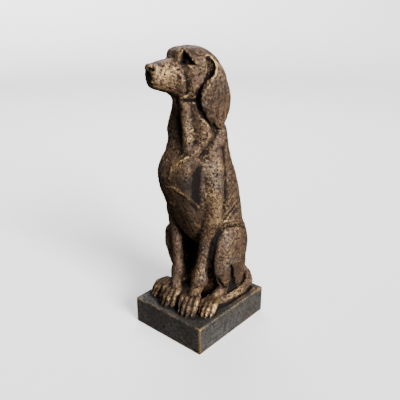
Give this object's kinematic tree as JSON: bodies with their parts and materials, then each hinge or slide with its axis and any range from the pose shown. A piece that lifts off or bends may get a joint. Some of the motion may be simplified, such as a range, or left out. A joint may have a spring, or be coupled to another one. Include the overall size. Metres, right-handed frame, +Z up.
{
  "type": "hunting dog sculpture",
  "caption": "Seated short-haired hunting dog with hanging ears and head turned aside, cast in one piece with a block plinth; bronze-brown patina on resin; table or shelf ornament.",
  "frame": {"origin": "middle of the plinth's flat underside", "axes": "+Z up; the dog's body faces -Y; its left side is +X"},
  "size_m": [0.0936, 0.1134, 0.2987],
  "materials": {
    "bronze_patina": "satin dark bronze-brown patina on cast resin, brass-coloured on worn ridges"
  },
  "bodies": {
    "root": {"hunting_dog": "bronze_patina"}
  },
  "joints": []
}
